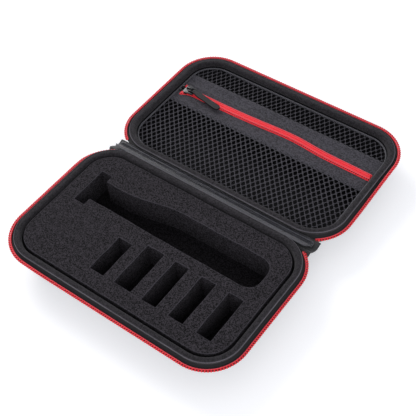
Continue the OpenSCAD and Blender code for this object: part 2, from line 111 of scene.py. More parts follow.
class CaseSizes(bpy.types.PropertyGroup):
    """Sizes of the dressed case that a user may change"""

    tooth_pitch: length_setting("Tooth pitch", "Distance between two loops of the zipper", 0.002)
    wire: length_setting("Coil wire", "Radius of the nylon wire of the zipper", 0.00055)
    foam_edge: length_setting("Foam edge", "Rounding of the cut edges of the foam", 0.0007)
    wrinkle: length_setting("Wrinkles", "Height of the wrinkles in the hinge cloth", 0.0011)
    puller_turn: FloatProperty(
        name="Puller turn", description="How far the pocket puller lies turned on its pin",
        default=math.radians(-10), subtype="ANGLE")


class CaseColours(bpy.types.PropertyGroup):
    """Colours of the cloth, foam and zippers"""

    shell: colour_setting("Shell", "Cloth over the moulded shells", 16, 15, 18)
    lining: colour_setting("Lining", "Brushed cloth inside the shells", 15, 14, 17)
    binding: colour_setting("Binding", "Knitted tape over the rims", 33, 30, 34)
    tape: colour_setting("Zipper tape", "Woven tape of both zippers", 14, 13, 16)
    teeth: colour_setting("Teeth", "Nylon loops of both zippers", 252, 44, 56)
    # The thread is a real thread; its light pink is a painted highlight along the tops of the rows
    thread: colour_setting("Teeth thread", "Thread sewn over the loops", 246, 92, 104)
    foam: colour_setting("Foam", "Die-cut foam", 41, 38, 42)
    net: colour_setting("Net", "Knitted mesh of the pocket", 56, 54, 60)
    hinge: colour_setting("Hinge cloth", "Coated cloth between the halves", 33, 32, 40)


# Path along the rim
MID_X = CASE_L / 2 - CORNER
MID_Y = CASE_W / 2 - CORNER
QUARTER = CORNER * math.pi / 2
LEGS = [(MID_X, False), (QUARTER, True), (2 * MID_Y, False), (QUARTER, True), (2 * MID_X, False),
        (QUARTER, True), (2 * MID_Y, False), (QUARTER, True), (MID_X, False)]
RIM_LENGTH = sum(length for length, turns in LEGS)
ZIP_START = MID_X + CORNER * math.radians(90 - CHAIN_TURN)
ZIP_LENGTH = RIM_LENGTH - 2 * ZIP_START


def rim_point(s):
    """Place and outward direction at a length along a rim, from the middle of the hinge side"""
    s %= RIM_LENGTH
    x, y, heading = 0.0, CASE_W / 2, math.pi
    for length, turns in LEGS:
        step = min(s, length)
        if turns:
            cx, cy = x - math.sin(heading) * CORNER, y + math.cos(heading) * CORNER
            heading += step / CORNER
            x, y = cx + math.sin(heading) * CORNER, cy - math.cos(heading) * CORNER
        else:
            x, y = x + math.cos(heading) * step, y + math.sin(heading) * step
        s -= step
        if s <= 1e-9:
            break
    return x, y, math.sin(heading), -math.cos(heading)


def place(half, x, y, z):
    """A point of a half, given from its own middle with the hinge at +Y, in metres in the shared frame"""
    return (x * MM, (y - HALF_Y) * MM if half == "base" else (HALF_Y - y) * MM, z * MM)


def wobble(x, y=0.0, z=0.0):
    """Smooth noise from -1 to 1 that is the same in each run"""
    return noise.noise(Vector((x, y, z)))


def clamp(value, low=0.0, high=1.0):
    return min(max(value, low), high)


def ease(t):
    """A rise from 0 to 1 that starts and ends gently"""
    return t * t * (3 - 2 * t)


def spread(start, end, step):
    """Evenly spaced values from start to end, both included"""
    return list(np.linspace(start, end, max(2, int(round((end - start) / step)) + 1)))


def all_round(step):
    """Evenly spaced lengths around a whole rim"""
    return spread(0, RIM_LENGTH, step)[:-1]


# Meshes


def add_mesh(name, verts, faces, uvs=None, smooth=True):
    """A new mesh object with the given corners and faces, and one UV pair for each corner of a face"""
    mesh = bpy.data.meshes.new(name)
    mesh.from_pydata([tuple(v) for v in verts], [], [tuple(f) for f in faces])
    if uvs is not None:
        layer = mesh.uv_layers.new(name="UVMap")
        layer.data.foreach_set("uv", np.array(uvs, np.float32).ravel())
    mesh.polygons.foreach_set("use_smooth", [smooth] * len(mesh.polygons))
    mesh.update()
    obj = bpy.data.objects.new(name, mesh)
    bpy.context.scene.collection.objects.link(obj)
    return obj


def apply_modifier(obj, kind, **settings):
    """Puts one modifier on an object and makes its result the mesh"""
    modifier = obj.modifiers.new(kind.lower(), kind)
    for key, value in settings.items():
        setattr(modifier, key, value)
    with bpy.context.temp_override(object=obj, active_object=obj, selected_objects=[obj]):
        bpy.ops.object.modifier_apply(modifier=modifier.name)


def ring_faces(first, count, sides, closed=False):
    """Faces along rings of corners that follow each other, with both ends filled unless the tube is closed"""
    faces = []
    for i in range(count if closed else count - 1):
        here, ahead = first + i * sides, first + (i + 1) % count * sides
        for k in range(sides):
            m = (k + 1) % sides
            faces.append((here + k, here + m, ahead + m, ahead + k))
    if not closed:
        last = first + (count - 1) * sides
        faces += [tuple(range(first, first + sides))[::-1], tuple(range(last, last + sides))]
    return faces


def grid_faces(rows, count, flip=False):
    """Faces between neighbouring rows of corners"""
    faces = [(a, a + count, a + count + 1, a + 1)
             for i in range(rows - 1) for a in range(i * count, (i + 1) * count - 1)]
    return [face[::-1] for face in faces] if flip else faces


def sweep(name, half, stations, section, closed=True, ring=False, floor=False):
    """A band along the rim. section gives the outline across it as (out, height) at each station, and floor
    fills the inside of a closed band from the start of its outlines."""
    rows = [section(s) for s in stations]
    count = len(rows[0])
    across = [0.0]
    for a, b in zip(rows[0], rows[0][1:] + rows[0][:1]):
        across.append(across[-1] + math.dist(a, b))
    verts = []
    for s, row in zip(stations, rows):
        x, y, nx, ny = rim_point(s)
        verts += [place(half, x + nx * out, y + ny * out, z) for out, z in row]
    along = list(stations) + [stations[0] + RIM_LENGTH]
    faces, uvs = [], []
    total = len(stations)
    for i in range(total if closed else total - 1):
        for j in range(count if ring else count - 1):
            here, ahead = i * count, (i + 1) % total * count
            k = (j + 1) % count
            u, v = (along[i] * MM, along[i + 1] * MM), (across[j] * MM, across[j + 1] * MM)
            corners = [(here + j, u[0], v[0]), (ahead + j, u[1], v[0]), (ahead + k, u[1], v[1]),
                       (here + k, u[0], v[1])]
            if half == "lid":
                corners.reverse()
            faces.append([c[0] for c in corners])
            uvs += [(c[1], c[2]) for c in corners]
    if floor:
        edge = [i * count for i in range(total)]
        verts.append([sum(verts[i][axis] for i in edge) / total for axis in range(3)])
        for a, b in zip(edge, edge[1:] + edge[:1]):
            face = (a, b, total * count) if half == "lid" else (b, a, total * count)
            faces.append(face)
            uvs += [verts[i][:2] for i in face]
    if ring and not closed:
        for start, flip in ((0, half == "lid"), ((total - 1) * count, half != "lid")):
            end = [start + j for j in range(count)]
            faces.append(end if flip else end[::-1])
            uvs += [(0.0, 0.0)] * count
    return add_mesh(name, verts, faces, uvs)


def tube(name, points, radii, sides, across_of):
    """A tube through points, its section stretched by the first radius in the direction of across_of"""
    verts = []
    for i, p in enumerate(points):
        t = (points[min(i + 1, len(points) - 1)] - points[max(i - 1, 0)]).normalized()
        a = across_of(i)
        a = (a - t * a.dot(t)).normalized()
        b = t.cross(a)
        ra, rb = radii(i)
        for k in range(sides):
            angle = 2 * math.pi * k / sides
            verts.append(p + a * (ra * math.cos(angle)) + b * (rb * math.sin(angle)))
    return add_mesh(name, verts, ring_faces(0, len(points), sides))


def mend(obj):
    """Takes faces with no area out of a mesh, and turns the faces of a closed one outwards"""
    mesh = bmesh.new()
    mesh.from_mesh(obj.data)
    bmesh.ops.dissolve_degenerate(mesh, dist=1e-7, edges=mesh.edges)
    if not any(edge.is_boundary for edge in mesh.edges):
        bmesh.ops.recalc_face_normals(mesh, faces=mesh.faces)
    mesh.to_mesh(obj.data)
    mesh.free()


def finish_of(name):
    return bpy.data.materials[name]


def dress(obj, finish, body, slot, *nodes):
    """Gives a piece its finish, its body and the CAD nodes it stands for. slot is not used."""
    mend(obj)
    obj.data.materials.append(finish_of(finish))
    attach(obj, body)
    if nodes:
        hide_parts(*nodes)
    return obj


def cloth(obj):
    """Gives back the piece as it is."""
    return obj


# Shared effects


def node(tree, kind, inputs=(), **settings):
    """A node with its settings, and its inputs filled with numbers or sockets, in order or by name"""
    made = tree.nodes.new(kind)
    for key, value in settings.items():
        setattr(made, key, value)
    for key, value in inputs.items() if isinstance(inputs, dict) else enumerate(inputs):
        if isinstance(value, bpy.types.NodeSocket):
            tree.links.new(value, made.inputs[key])
        else:
            made.inputs[key].default_value = value
    return made


def math_node(tree, operation, *values):
    return node(tree, "ShaderNodeMath", values, operation=operation).outputs[0]


def effect(name, inputs, outputs):
    """An empty node group with a vector and named numbers in and named numbers out"""
    group = bpy.data.node_groups.new(name, "ShaderNodeTree")
    group.interface.new_socket(name="Vector", in_out="INPUT", socket_type="NodeSocketVector")
    for label, value in inputs.items():
        socket = group.interface.new_socket(name=label, in_out="INPUT", socket_type="NodeSocketFloat")
        socket.default_value = value
    for label in outputs:
        group.interface.new_socket(name=label, in_out="OUTPUT", socket_type="NodeSocketFloat")
    return group, group.nodes.new("NodeGroupInput").outputs, group.nodes.new("NodeGroupOutput").inputs


def grain_group():
    """Fine cells and specks, as of foam or moulded cloth"""
    group, given, out = effect("grain", {"Size": 0.001, "Contrast": 0.4}, ("Tone", "Height"))
    calc = partial(math_node, group)
    scale = calc("DIVIDE", 1.0, given["Size"])
    fine = node(group, "ShaderNodeTexNoise",
                {"Vector": given["Vector"], "Scale": scale, "Detail": 3.0, "Roughness": 0.65}).outputs["Fac"]
    cells = node(group, "ShaderNodeTexVoronoi",
                 {"Vector": given["Vector"], "Scale": calc("MULTIPLY", scale, 1.3)})
    wide_scale = calc("MULTIPLY", scale, 0.03)
    wide = node(group, "ShaderNodeTexNoise",
                {"Vector": given["Vector"], "Scale": wide_scale, "Detail": 2.0}).outputs["Fac"]
    specks = node(group, "ShaderNodeSeparateColor", (cells.outputs["Color"],)).outputs[0]
    mixed = calc("ADD", calc("MULTIPLY", fine, 0.75), calc("MULTIPLY", specks, 0.5))
    tone = calc("ADD", calc("MULTIPLY", calc("SUBTRACT", mixed, 0.625), given["Contrast"]),
                calc("MULTIPLY", calc("SUBTRACT", wide, 0.5), 0.25))
    group.links.new(calc("ADD", tone, 0.5), out["Tone"])
    group.links.new(mixed, out["Height"])


def weave_group():
    """Crossing threads, from a map in metres"""
    group, given, out = effect("weave", {"Along": 0.0008, "Across": 0.0008}, ("Tone", "Height"))
    calc = partial(math_node, group)
    parts = node(group, "ShaderNodeSeparateXYZ", (given["Vector"],)).outputs
    waves = [calc("SINE", calc("MULTIPLY", calc("DIVIDE", parts[axis], given[pitch]), 2 * math.pi))
             for axis, pitch in (("X", "Along"), ("Y", "Across"))]
    fuzz = node(group, "ShaderNodeTexNoise", {"Vector": given["Vector"], "Scale": 900.0, "Detail": 3.0})
    height = calc("ADD", calc("MULTIPLY", calc("MULTIPLY", *waves), 0.5),
                  calc("MULTIPLY", fuzz.outputs["Fac"], 0.9))
    group.links.new(height, out["Height"])
    group.links.new(calc("ADD", calc("MULTIPLY", height, 0.5), 0.28), out["Tone"])


def highlight_band_group():
    """A soft painted highlight line along a band, at a distance from its first edge"""
    group, given, out = effect("band", {"Middle": 0.005, "Width": 0.001}, ("Mask",))
    calc = partial(math_node, group)
    parts = node(group, "ShaderNodeSeparateXYZ", (given["Vector"],)).outputs
    patchy = node(group, "ShaderNodeTexNoise", {"Vector": given["Vector"], "Scale": 60.0, "Detail": 4.0})
    away = calc("ABSOLUTE", calc("SUBTRACT", parts["Y"], given["Middle"]))
    near = calc("SUBTRACT", 1.0, calc("DIVIDE", away, given["Width"]))
    clear = node(group, "ShaderNodeClamp", (near,)).outputs[0]
    group.links.new(calc("MULTIPLY", clear, calc("ADD", patchy.outputs["Fac"], 0.2)), out["Mask"])


def place_group(name, output, coordinate="Object", **values):
    """Gives a function that places a shared effect in a material and returns one of its outputs"""

    def make(tree):
        where = node(tree, "ShaderNodeTexCoord").outputs[coordinate]
        made = node(tree, "ShaderNodeGroup", {"Vector": where, **values},
                    node_tree=bpy.data.node_groups[name])
        return made.outputs[output]

    return make


def edge_highlight_mask(tree):
    """Painted highlight along the cut edges: how near a point of the foam lies to a cut edge"""
    marked = node(tree, "ShaderNodeAttribute", attribute_name="edge")
    return math_node(tree, "MULTIPLY", marked.outputs["Fac"], 0.6)


def shade(name, colour, rough, tone, share, bump=None, depth=0.0, highlight=None, sheen=0.0, metallic=0.0,
          coat=0.0, specular=0.5):
    """A material whose colour is darkened and lightened by a share of itself and bumped by a height. tone,
    bump and the mask of highlight are functions that take the node tree and give a socket."""
    material = bpy.data.materials.new(name)
    material.use_nodes = True
    tree = material.node_tree
    shader = tree.nodes["Principled BSDF"].inputs
    colour = tuple(colour)[:3]
    for key, value in {"Base Color": colour + (1.0,), "Roughness": rough, "Metallic": metallic,
                       "Sheen Weight": sheen, "Sheen Roughness": 0.45, "Coat Weight": coat,
                       "Specular IOR Level": specular}.items():
        shader[key].default_value = value
    dark, light = (tuple(min(c * (1 + way * share), 1.0) for c in colour) + (1.0,) for way in (-1, 1))
    mix = partial(node, tree, "ShaderNodeMix", data_type="RGBA")
    out = mix({0: tone(tree), 6: dark, 7: light}).outputs[2]
    if highlight:
        mask, bright = highlight
        out = mix({0: mask(tree), 6: out, 7: bright + (1.0,)}).outputs[2]
    tree.links.new(out, shader["Base Color"])
    if bump:
        raised = node(tree, "ShaderNodeBump", {"Strength": 1.0, "Distance": depth, "Height": bump(tree)})
        tree.links.new(raised.outputs["Normal"], shader["Normal"])


def make_materials(colours):
    """All finishes of the case. Each row of the table has a name, a colour, a roughness, the size and contrast
    of its grain, the share of the colour that the grain changes, and the depth of its bumps or 0."""
    grain_group(), weave_group(), highlight_band_group()
    grain = partial(place_group, "grain")
    weave = partial(place_group, "weave", coordinate="UV")
    foam_glint, binding_glint = srgb(84, 81, 88), srgb(120, 116, 124)
    # The uncut foam sheet is the same foam darkened to 0.3, painted shade at the bottom of the recesses
    foam_in_painted_shade = [c * 0.3 for c in colours.foam]
    for name, colour, rough, size, contrast, share, depth, more in (
            ("moulded cloth", colours.shell, 0.62, 0.0009, 2.6, 0.5, 0.0003, dict(specular=0.3)),
            ("outer cloth", colours.shell, 0.6, 0.0009, 1.5, 0.5, 0.0002, dict(sheen=0.2)),
            ("brushed lining", colours.lining, 0.75, 0.0012, 1.2, 0.45, 0.0001,
             dict(sheen=0.02, specular=0.12)),
            # cut foam is lightened along its cut edges, a painted highlight
            ("cut foam", colours.foam, 0.95, 0.0008, 4.6, 0.9, 0.0005,
             dict(specular=0.2, highlight=(edge_highlight_mask, foam_glint))),
            ("shaded foam", foam_in_painted_shade, 0.95, 0.0008, 4.6, 0.9, 0.0005, dict(specular=0.1)),
            ("net knit", colours.net, 0.75, 0.0007, 1.6, 0.5, 0.00015, dict(sheen=0.1, specular=0.3)),
            ("corded edge", srgb(62, 60, 67), 0.6, 0.0008, 1.2, 0.5, 0.0002, dict(sheen=0.3)),
            ("red nylon", colours.teeth, 0.38, 0.0008, 0.6, 0.22, 0, {}),
            # The cord inside the main rows is a real cord, coloured darker than the loops as painted shade in
            # the gaps between them
            ("red cord in painted shade", srgb(130, 12, 20), 0.6, 0.0008, 0.6, 0.3, 0, {}),
            # The thread's light pink is a painted highlight along the tops of the rows
            ("pink thread with painted highlight", colours.thread, 0.55, 0.0005, 0.9, 0.25, 0, {}),
            ("black metal", srgb(20, 20, 22), 0.28, 0.0006, 0.9, 0.6, 0, dict(metallic=0.35, coat=0.4)),
            ("grip rubber", srgb(13, 13, 15), 0.45, 0.0005, 0.9, 0.4, 0.00006, dict(specular=0.25))):
        tone, bump = (grain(output, Size=size, Contrast=contrast) for output in ("Tone", "Height"))
        shade(name, colour, rough, tone, share, bump if depth else None, depth, **more)
    # A painted highlight along the crown of the binding, 4.3 mm across it
    line = place_group("band", "Mask", coordinate="UV", Middle=0.0043, Width=0.0007)
    shade("knitted binding", colours.binding, 0.85, grain("Tone", Size=0.0011, Contrast=2.6), 0.7,
          weave("Height", Along=0.0018, Across=0.0013), 0.0003, sheen=0.1, specular=0.25,
          highlight=(line, binding_glint))
    shade("knitted band", colours.net, 0.8, grain("Tone", Size=0.0011, Contrast=2.2), 0.6,
          weave("Height", Along=0.0015, Across=0.0015), 0.0002, sheen=0.1, specular=0.25)
    shade("woven tape", colours.tape, 0.8, weave("Tone", Along=0.0007, Across=0.0007), 0.4,
          weave("Height", Along=0.0007, Across=0.0007), 0.00008, sheen=0.2)
    shade("satin cloth", colours.hinge, 0.4, grain("Tone", Size=0.0012, Contrast=2.0), 0.75,
          grain("Height", Size=0.0035), 0.0004, sheen=0.2, coat=0.08)


# Rims, walls and zippers

# Where each binding's ends meet, as a length along its rim
SEAM_AT = {"base": 352.0, "lid": 3.0}
# Outlines across the binding and the zipper tape, as the way out from the rim and down from its top
BINDING_LINE = [
    (-1.15, 4.25), (-0.92, 3.6), (-0.66, 2.5), (-0.36, 1.5), (-0.06, 0.9), (0.04, 0.5), (-0.1, 0.14),
    (-0.45, -0.04), (-0.85, 0.04), (-1.15, 0.16), (-1.5, 0.14), (-2.2, -0.06), (-3.1, -0.1), (-3.9, 0.04),
    (-4.6, 0.36), (-5.08, 0.9), (-5.38, 1.6), (-5.72, 2.8), (-6.05, 3.9), (-6.0, 4.2), (-5.6, 4.25)]
SOFT_PART = range(8, 16)
CROWN_DROP = 0.22
TAPE_LINE = [(-1.3, 3.2), (-1.75, 4.1), (-0.7, 5.0), (0.7, 5.75), (1.8, 6.05), (3.4, 6.1)]
TAPE_THICK = 0.45
# How far the tapes curl up
CURL = {"base": 2.3, "lid": 3.1}
# The main zipper's rows, out from the rim and down from its top, and the rows' width and height
ROW_OUT, ROW_DOWN, ROW_WIDTH, ROW_HEIGHT = 1.85, 5.2, 3.0, 1.6
LOOP_STEPS = 12


def make_lining(half):
    """The brushed cloth that lines one shell, slightly uneven where it was drawn into the corners"""
    tilt = math.cos(math.radians(WALL_TILT))
    h, r = RIM_Z[half], EDGE_R - (LINING_AT - SHELL_AT) * tilt
    cx = -SHELL_AT - (h - EDGE_R) * SLOPE - EDGE_R / tilt
    rows = [(-LINING_AT - d * SLOPE, h - d) for d in np.linspace(1.2, h - EDGE_R - 1, 6)]
    for i in range(9):
        a = math.radians(-WALL_TILT - i * (90 - WALL_TILT) / 8)
        rows.append((cx + r * math.cos(a), EDGE_R + r * math.sin(a)))
    rows.append((-CORNER + 2, rows[-1][1]))

    def section(s):
        return [(out - 0.12 * wobble(s * 0.06, z * 0.12, 5), z) for out, z in rows[::-1]]

    obj = sweep(half + "_lining_cloth", half, all_round(4), section, floor=True)
    dress(obj, "brushed lining", half, "lining", half + "_lining")
    cloth(obj)


def make_binding(half):
    """The knitted tape folded over one rim"""
    h, seam = RIM_Z[half], SEAM_AT[half]

    def section(s):
        row = []
        notch = 0.5 * math.exp(-((s - seam) / 0.45) ** 2) - 0.2 * math.exp(-((s - seam - 1.2) / 0.7) ** 2)
        for i, (out, d) in enumerate(BINDING_LINE):
            soft = 0.16 * wobble(s * 0.045, i * 0.35, h) + 0.1 * wobble(s * 0.35, i * 0.6, h)
            row.append((out, h - d - CROWN_DROP - notch + (soft if i in SOFT_PART else soft * 0.3)))
        return row

    stations = sorted(set(all_round(2) + spread(seam - 1.8, seam + 1.8, 0.3)))
    obj = sweep(half + "_binding_tape", half, stations, section)
    dress(obj, "knitted binding", half, "binding", half + "_rim_binding")
    cloth(obj)


def lifted(half, s):
    """How far the zipper tape curls up, on the left side of both halves and along the far side of the lid"""
    x, y = rim_point(s)[:2]
    left = (-x - 50) / 50
    return CURL[half] * ease(clamp(max(left, (25 - y) / 60) if half == "lid" else min(left, (58 - y) / 30)))


def make_tape(half):
    """The woven zipper tape that flares out under the binding"""
    def section(s):
        rise = lifted(half, s)
        flare = 0.25 + 0.75 * clamp((min(s, RIM_LENGTH - s) - MID_X - 2) / (ZIP_START - MID_X - 2))
        curl = [((out + 1.3) * flare - 1.3, RIM_Z[half] - d + rise * clamp((out + 0.9) / 2.4))
                for out, d in TAPE_LINE]
        return curl + [(out - 0.1, z - TAPE_THICK) for out, z in curl[::-1]]

    stations = spread(MID_X, RIM_LENGTH - MID_X, 2)
    obj = sweep(half + "_woven_tape", half, stations, section, closed=False, ring=True)
    dress(obj, "woven tape", half, "zipper_tape", half + "_zipper_tape")
    cloth(obj)


def coil(name, line, length, sizes, width):
    """Nylon wire wound in flat loops along a line. line gives the place of the inner edge's middle, the
    direction out of the row, and along, at a length."""
    pitch, wire = sizes.tooth_pitch / MM, sizes.wire / MM
    points, along = [], []
    for i in range(int(length / pitch) * LOOP_STEPS):
        share = (i % LOOP_STEPS) / LOOP_STEPS
        s = (i // LOOP_STEPS + ease(clamp((share - 0.34) / 0.32))) * pitch + 0.3
        origin, out, ahead = line(min(s, length))
        angle = 2 * math.pi * share
        flat = math.copysign(abs(math.cos(angle)) ** 0.7, math.cos(angle))
        points.append((origin + out * (width / 2 + (width / 2 - wire) * flat)
                       + UP * ((ROW_HEIGHT / 2 - wire) * math.sin(angle))) * MM)
        along.append(ahead)

    def radii(i):
        head = max(math.cos(2 * math.pi * (i % LOOP_STEPS) / LOOP_STEPS), 0.0) ** 4
        return wire * MM * (1 + 0.38 * head), wire * MM * (1 - 0.1 * head)

    return tube(name, points, radii, 6, lambda i: along[i])


def stitched(name, line, length, out_at, height, radius):
    """A thread or cord that follows a row of loops"""
    points, along = [], []
    for s in spread(0.5, length - 0.5, 0.7):
        origin, out, ahead = line(s)
        points.append((origin + out * out_at + UP * (height + 0.1 * math.cos(math.pi * s))) * MM)
        along.append(out)
    return tube(name, points, lambda i: (radius * MM * 1.2, radius * MM), 6, lambda i: along[i])


def make_row(loops, name, source, body, line, length, sizes, width, thread, core, cord):
    """One row of a zipper: its loops, the thread sewn over them and the cord inside them. thread and core give
    the way out, the height and the radius of those two."""
    dress(coil(loops, line, length, sizes, width), "red nylon", body, "zipper_teeth", source)
    dress(stitched(name + "_thread", line, length, *thread), "pink thread with painted highlight", body, "zipper_teeth")
    dress(stitched(name + "_core", line, length, *core), cord, body, "zipper_teeth")


def make_main_row(half, sizes):
    """One row of the main zipper, which follows the rim"""
    def line(s):
        x, y, nx, ny = rim_point(ZIP_START + s)
        flip = 1 if half == "base" else -1
        z = RIM_Z[half] - ROW_DOWN + lifted(half, ZIP_START + s)
        origin = Vector(place(half, x + nx * ROW_OUT, y + ny * ROW_OUT, z)) / MM
        return origin, Vector((nx, ny * flip, 0)), Vector((-ny, nx * flip, 0))

    name = half + "_coil"
    make_row(name, name, half + "_zipper_coil", half, line, ZIP_LENGTH, sizes, ROW_WIDTH,
             (0.75, 0.7, 0.16), (2.0, -0.05, 0.45), "red cord in painted shade")


# Foam

# The recess: its head, set in from the left and the far edge, then the neck and handle, and where it widens
HEAD_LEFT, HEAD_FAR, HEAD_HALF, HEAD_WIDE = 13.5, 38.0, 17.5, 10.3
HANDLE_RIGHT, FLARE_AT, FLARE_LENGTH, HANDLE_LEAN = 12.7, 28.3, 55, 4
NECK_WIDE, HANDLE_WIDE, HANDLE_NOSE = 21, 30, 14
# The slots from left to right, as width and length, and their place from the right and the near edge
SLOTS = ((13, 34.5), (16, 41), (13, 41), (13, 41), (13, 41))
SLOT_PITCH, SLOT_RIGHT, SLOT_NEAR = 25, 20, 13.7


def rounded_loop(half_x, half_y, radius, step=2.0):
    """A rounded rectangle about the middle, anticlockwise"""
    points = []
    for cx, cy, start in ((1, 1, 0), (-1, 1, 90), (-1, -1, 180), (1, -1, 270)):
        count = max(3, int(radius * math.pi / 2 / step))
        for i in range(count + 1):
            a = math.radians(start + 90 * i / count)
            points.append(Vector((cx * (half_x - radius) + radius * math.cos(a),
                                  cy * (half_y - radius) + radius * math.sin(a))))
    return points


def fill_in(points, step=2.0):
    """The same closed loop with more points on its long sides"""
    dense = []
    for a, b in zip(points, points[1:] + points[:1]):
        count = max(1, int((b - a).length / step))
        dense += [a.lerp(b, i / count) for i in range(count)]
    return dense


def set_in(points, distance):
    """A loop moved to its left by a distance"""
    moved = []
    for i, p in enumerate(points):
        a, b = points[i - 1], points[(i + 1) % len(points)]
        d1, d2 = (p - a).normalized(), (b - p).normalized()
        normal = Vector((-d1.y - d2.y, d1.x + d2.x))
        if normal.length < 1e-6:
            normal = Vector((-d1.y, d1.x))
        normal.normalize()
        slant = max(normal.dot(Vector((-d1.y, d1.x))), 0.5)
        moved.append(p + normal * (distance / slant))
    return moved


def cut_block(name, outer, holes, low, high, edge):
    """A block with upright walls, holes through it and softened upper edges"""
    verts, faces, top, flat, below, highlight_ring = [], [], [], [], [], []
    for loop in [outer] + [h[::-1] for h in holes]:
        rings = [(set_in(loop, edge), high), (set_in(loop, edge * 0.3), high - edge * 0.3),
                 (loop, high - edge), (loop, low)]
        first, count = len(verts), len(loop)
        for ring, z in rings:
            verts += [(p.x * MM, (p.y - HALF_Y) * MM, z * MM) for p in ring]
        top.append([Vector((p.x, p.y, 0)) for p in rings[0][0]])
        flat += range(first, first + count)
        highlight_ring += range(first + count, first + 2 * count)
        below += range(first + 3 * count, first + 4 * count)
        for r in range(3):
            for i in range(count):
                k = (i + 1) % count
                a, b = first + r * count, first + (r + 1) * count
                faces.append((a + i, b + i, b + k, a + k))
    for corners in tessellate_polygon(top):
        pa, pb, pc = (Vector(verts[flat[i]]) for i in corners)
        if (pb - pa).cross(pc - pa).z < 0:
            corners = corners[::-1]
        faces += [tuple(flat[i] for i in corners), tuple(below[i] for i in corners[::-1])]
    obj = add_mesh(name, verts, faces, smooth=False)
    # The ring just under each top edge is marked for the painted highlight of the cut edges
    mark = obj.data.attributes.new("edge", "FLOAT", "POINT")
    for i in highlight_ring:
        mark.data[i].value = 1.0
    return obj


def wavy(points, size, seed):
    """A cut outline that isn't quite straight"""
    return [p + Vector([wobble(p.x * 0.08, p.y * 0.08, s) for s in (seed, seed + 9)]) * size for p in points]


def handle_loop(x0, x1, start, middle):
    """Outline of the recess for the shaver's neck and handle"""
    line = [(x0, middle, NECK_WIDE / 2)]
    for i in range(13):
        t = i / 12
        e = (1 - math.cos(math.pi * t)) / 2
        line.append((start + FLARE_LENGTH * t, middle + HANDLE_LEAN * e,
                     NECK_WIDE / 2 + (HANDLE_WIDE - NECK_WIDE) / 2 * e))
    for i in range(13):
        a = math.pi / 2 * i / 12
        line.append((x1 - HANDLE_NOSE + HANDLE_NOSE * math.sin(a), middle + HANDLE_LEAN,
                     HANDLE_WIDE / 2 * math.sqrt(max(math.cos(a), 0))))
    lower = [Vector((x, y - w)) for x, y, w in line]
    upper = [Vector((x, y + w)) for x, y, w in line[:-1]]
    return lower + upper[::-1]


def make_foam(sizes):
    """The die-cut foam and the uncut sheet under it"""
    half_x, half_y = ((FOAM[1][i] - FOAM[0][i]) / 2 for i in (0, 1))
    floor_x, floor_y = ((FOAM_FLOOR[1][i] - FOAM_FLOOR[0][i]) / 2 for i in (0, 1))
    low, turn = FOAM_FLOOR[1][2], CORNER - (CASE_L / 2 - half_x)
    outer = wavy(fill_in(rounded_loop(half_x, half_y, turn)), 0.35, 2)
    left, middle = -half_x + HEAD_LEFT, half_y - HEAD_FAR
    right, near, far = left + HEAD_WIDE, middle - HEAD_HALF, middle + HEAD_HALF
    neck = handle_loop(right, half_x - HANDLE_RIGHT, left + FLARE_AT, middle)
    recess = ([Vector((left, near)), Vector((right, near))] + neck
              + [Vector((right, far)), Vector((left, far))])
    holes = [wavy(fill_in(recess), 0.3, 4)]
    y = -half_y + SLOT_NEAR
    for i, (width, length) in enumerate(SLOTS):
        x = half_x - SLOT_RIGHT - (len(SLOTS) - 1 - i) * SLOT_PITCH
        slot = [Vector((x - width / 2, y)), Vector((x + width / 2, y)),
                Vector((x + width / 2, y + length)), Vector((x - width / 2, y + length))]
        holes.append(wavy(fill_in(slot), 0.45, 20 + i))
    obj = cut_block("cut_foam", outer, holes, low + 0.05, FOAM[1][2], sizes.foam_edge / MM)
    dress(obj, "cut foam", "base", "foam", "foam_insert")
    # The sheet under the cut foam takes the darkened foam, painted shade in the recesses
    floor = cut_block("foam_underlay", rounded_loop(floor_x, floor_y, turn), [], FOAM_FLOOR[0][2], low, 0.3)
    dress(floor, "shaded foam", "base", "foam", "foam_floor_sheet")


# Hinge

# Where the outer cloth leaves the shells, how far it sags between them, and where it is glued to them
OUTER_DROP, OUTER_SAG, OUTER_GLUED = 4.4, 3.1, (13.4, 9.4, 5.4)
# Line of the inner cloth in its folds, as Y and the way down from the rim of the base, then of the lid
INNER_NEAR = [(-4.2, 2.0), (-2.8, 2.7), (-1.8, 3.6), (-1.1, 5.4), (-0.5, 7.0), (0.2, 5.9), (0.9, 7.6),
              (1.6, 6.2), (2.3, 7.8)]
INNER_FAR = [(3.0, 1.9), (3.7, 1.5), (4.5, 2.8)]


def hinge_sheet(name, line, half_length, thick, wrinkle, seed, tongue):
    """A layer of cloth between the halves, drawn from its line in Y and height. tongue is the length of its
    rounded ends."""
    xs = spread(-half_length, half_length, 1.5)
    verts, dense = [], []
    for (y0, z0), (y1, z1) in zip(line, line[1:]):
        count = max(1, int(math.hypot(y1 - y0, z1 - z0) / 0.7))
        dense += [(y0 + (y1 - y0) * i / count, z0 + (z1 - z0) * i / count) for i in range(count)]
    dense.append(line[-1])
    count = len(dense)
    for x in xs:
        for j, (y, z) in enumerate(dense):
            t = j / (count - 1)
            free = math.sin(math.pi * t) ** 0.6
            fold = wobble(x * 0.012, y * 0.32 + 0.1 * wobble(x * 0.05, 0, seed), seed)
            crease = 1 - abs(wobble(x * 0.03 + 7, y * 0.7, seed + 3)) * 3
            lift = free * wrinkle * (1.3 * fold + 0.45 * max(crease, 0))
            near_end = max(abs(x) / half_length - 0.9, 0) / 0.1
            out = math.copysign(tongue * near_end * math.sqrt(max(1 - (2 * t - 1) ** 4, 0)), x)
            verts.append(((x + out) * MM, (y + 0.3 * lift) * MM, (z + lift) * MM))
    obj = add_mesh(name, verts, grid_faces(len(xs), count))
    apply_modifier(obj, "SOLIDIFY", thickness=thick * MM, offset=-1)
    return obj


